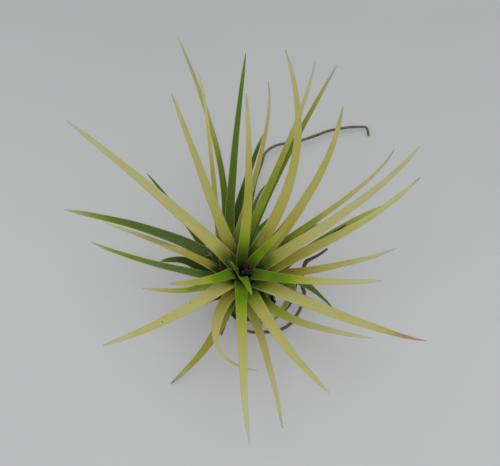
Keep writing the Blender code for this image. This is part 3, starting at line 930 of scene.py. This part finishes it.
def bit_rings(number, middle, heading, pitch, length, width):
    """A torn sliver: a thin curling strip with uneven margins that ends in a point.

    The bare numbers in the places of noise only keep bits, scales and their rows unlike each other.
    """
    rise = math.radians(pitch)
    along = round_axis(heading) * math.cos(rise) + Vector((0, 0, math.sin(rise)))
    across = along.cross(Vector((0, 0, 1))).normalized()
    normal = across.cross(along)
    rings = []
    for row in range(BIT_ROWS + 1):
        share = row / BIT_ROWS
        lift = BIT_CURL * length * (share - 0.5) ** 2
        ragged = 1 + BIT_RAGGED * noise.noise(Vector((number * 3.1, row * 1.9, 2)))
        swell = math.sin(math.pi * (0.15 + 0.82 * share))
        half = max(LEAST_HALF_MM, width / 2 * swell * ragged)
        shift = BIT_STRAY * width * noise.noise(Vector((number * 5.7, row * 1.3, 8)))
        centre = Vector(middle) + along * (share - 0.5) * length + normal * lift + across * shift
        thick = BIT_MM / 2
        corners = ((-half, -thick), (half, -thick), (half * 0.9, thick), (-half * 0.9, thick))
        rings.append([(centre + across * aside + normal * up) * MM for aside, up in corners])
    return rings


def add_bits(name, bits, material, node):
    mesh = ring_mesh(name, [bit_rings(number, *bit) for number, bit in enumerate(bits)])
    return add_piece(name, mesh, material, node)


def scale_rings(number):
    """A dry scale, the base of an old leaf: it hugs the foot and ends in a torn point.

    Gives rings as (ring, share of the length), whose points are (point, place across, height).
    """
    rings = []
    last = len(SCALE_LINE_MM) - 1
    reach = SCALE_REACH[0] + SCALE_REACH[1] * noise.noise(Vector((number * 2.3, 0, 4)))
    for row, (radius, height) in enumerate(SCALE_LINE_MM):
        share = row / last
        swing = SCALE_SWING * share * noise.noise(Vector((number * 1.7, share * 2, 1)))
        turn = SCALE_TURN * number + swing
        out = round_axis(turn)
        aside = round_axis(turn + 90)
        ragged = 1 + SCALE_RAGGED * noise.noise(Vector((number * 4.1, row * 1.7, 6)))
        half = max(SCALE_LEAST_HALF_MM, SCALE_WIDTH_MM / 2 * math.sqrt(1 - share**2) * ragged)
        lifted = SCALE_LIFTS_MM[number % len(SCALE_LIFTS_MM)] * share
        middle = axis_at(height * reach) + out * (radius + lifted)
        curve = half**2 / (2 * radius)
        low = middle - out * curve - aside * half
        high = middle - out * curve + aside * half
        inner = [(low, -half), (middle, 0), (high, half)]
        outer = [(place + out * BIT_MM, spot) for place, spot in reversed(inner)]
        rings.append(([(place * MM, spot, height) for place, spot in inner + outer], share))
    return rings


def add_scales(material):
    """The scales round the foot, each of its own age."""
    scales = [scale_rings(number) for number in range(SCALE_COUNT)]
    mesh = ring_mesh("foot_scales", [points_of(rings) for rings in scales])
    values = {"grain": [], "age": []}
    for number, rings in enumerate(scales):
        age = SCALE_AGE[0] + SCALE_AGE[1] * noise.noise(Vector((number * 5.9, 0, 3)))
        for ring, share in rings:
            for _, aside, height in ring:
                values["grain"] += (aside, height, number * SCALE_GRAIN_STEP)
                values["age"].append(age + SCALE_END_PALER * share)
    write_values(mesh, values)
    return add_piece("foot_scales", mesh, material, "stem")


# Studio


def add_floor():
    """A pale paper floor, painted darker towards the back as painted shade, that glows a little to soften
    the shade on it.
    """
    bpy.ops.mesh.primitive_plane_add(size=FLOOR_SIZE_M)
    floor = bpy.context.object
    floor.name = "floor"
    nodes = Nodes("floor_paper")
    place = nodes.add("ShaderNodeTexCoord").outputs["Object"]
    cloud = nodes.noise(place, FLOOR_CLOUDS)
    split = nodes.add("ShaderNodeSeparateXYZ")
    nodes.put(split.inputs[0], place)
    # Painted shade, darker towards the back.
    painted_back_shade = nodes.spread(split.outputs["Y"], 0.0, FLOOR_FAR_M, 1.0, FLOOR_FAR_SHADE)
    shade = nodes.mix(nodes.spread(cloud, 0.3, 0.7), *FLOOR_TONES)
    shade = nodes.mix(1.0, shade, painted_back_shade, "MULTIPLY")
    lit = nodes.mix(1.0, shade, (FLOOR_LIT, FLOOR_LIT, FLOOR_LIT, 1), "MULTIPLY")
    nodes.put(nodes.shader.inputs["Base Color"], lit)
    nodes.put(nodes.shader.inputs["Emission Color"], shade)
    nodes.shader.inputs["Emission Strength"].default_value = FLOOR_GLOW
    nodes.shader.inputs["Roughness"].default_value = 0.7
    nodes.shader.inputs["Specular IOR Level"].default_value = 0.2
    floor.data.materials.append(nodes.material)


def add_lamp():
    """The wide soft lamp above the plant."""
    lamp = bpy.data.lights.new("strip_above", "AREA")
    lamp.shape = "RECTANGLE"
    lamp.size, lamp.size_y = LAMP_SIZE_M
    lamp.energy = LAMP_WATTS
    holder = bpy.data.objects.new("strip_above", lamp)
    holder.location = LAMP_PLACE_M
    ahead = Vector(LAMP_TARGET_M) - Vector(LAMP_PLACE_M)
    holder.rotation_euler = ahead.to_track_quat("-Z", "Y").to_euler()
    bpy.context.scene.collection.objects.link(holder)


def add_camera():
    """The camera at the picture's viewing angle."""
    lens = bpy.data.cameras.new("camera")
    lens.lens = CAMERA_LENS
    lens.sensor_fit = "HORIZONTAL"
    lens.clip_start = CAMERA_NEAR_M
    holder = bpy.data.objects.new("camera", lens)
    rise = math.radians(CAMERA_ELEVATION)
    offset = Vector((0, -math.cos(rise), math.sin(rise))) * CAMERA_DISTANCE_MM
    holder.location = (Vector(CAMERA_TARGET_MM) + offset) * MM
    holder.rotation_euler = (math.radians(90 - CAMERA_ELEVATION), 0, 0)
    bpy.context.scene.collection.objects.link(holder)
    bpy.context.scene.camera = holder


def add_studio():
    add_floor()
    add_lamp()
    world = bpy.data.worlds.new("studio")
    world.use_nodes = True
    sky = world.node_tree.nodes["Background"]
    sky.inputs["Color"].default_value = SKY_COLOUR
    sky.inputs["Strength"].default_value = SKY_STRENGTH
    bpy.context.scene.world = world
    bpy.context.scene.view_settings.view_transform = "Standard"
    bpy.context.scene.view_settings.look = "None"


def build():
    """All pieces of the plant."""
    young = leaf_material("young_leaf", scurf=0.03, blush=0.0, roughness=0.5, pale_margin=0.2)
    blushed = leaf_material("blushed_leaf", scurf=0.08, blush=0.4, roughness=0.52, pale_margin=0.3)
    old = leaf_material("old_leaf", scurf=0.2, blush=0.0, roughness=0.6, pale_margin=0.4)
    finishes = (
        (young, "young_leaf"), (young, "young_leaf"),
        (blushed, "blushed_leaf"), (blushed, "blushed_leaf"), (blushed, "blushed_leaf"),
        (old, "old_leaf"), (old, "old_leaf"),
    )
    for number, row in enumerate(LEAVES):
        add_leaf(number, row, *finishes[row[1]])
    husk = dry_material(
        "husk", rgba("husk"), rgba("husk", 0.35), scale=350, roughness=0.8, relief=0.0002
    )
    spent = dry_material(
        "spent", rgba("husk", 0.2), rgba("husk", 0.03), scale=900, roughness=0.85, relief=0.0002
    )
    wiry = dry_material(
        "wiry_root", rgba("husk", 0.75), rgba("husk", 0.3), scale=500, roughness=0.75, relief=0.00015
    )
    add_turned(
        "stem_fine", STEM_PROFILE_MM, husk, "stem", steps=5, sides=72, rough_mm=0.35
    )
    add_turned(
        "stub_fine", STUB_PROFILE_MM, spent, "flower_stub", steps=4, sides=24, rough_mm=0.5
    )
    paper = dry_material(
        "torn_paper", rgba("paper", 0.7), rgba("paper", 0.35), scale=900, roughness=0.8, relief=0.00008
    )
    for name, radius, line in ROOTS:
        add_root(name, radius, line, wiry)
    add_bits("crown_bits", CROWN_BITS, spent, "flower_stub")
    add_bits("torn_bits", TORN_BITS, paper, "stem")
    add_bits("dark_bits", DARK_BITS, spent, "stem")
    add_scales(scale_material())


build()
add_studio()
add_camera()
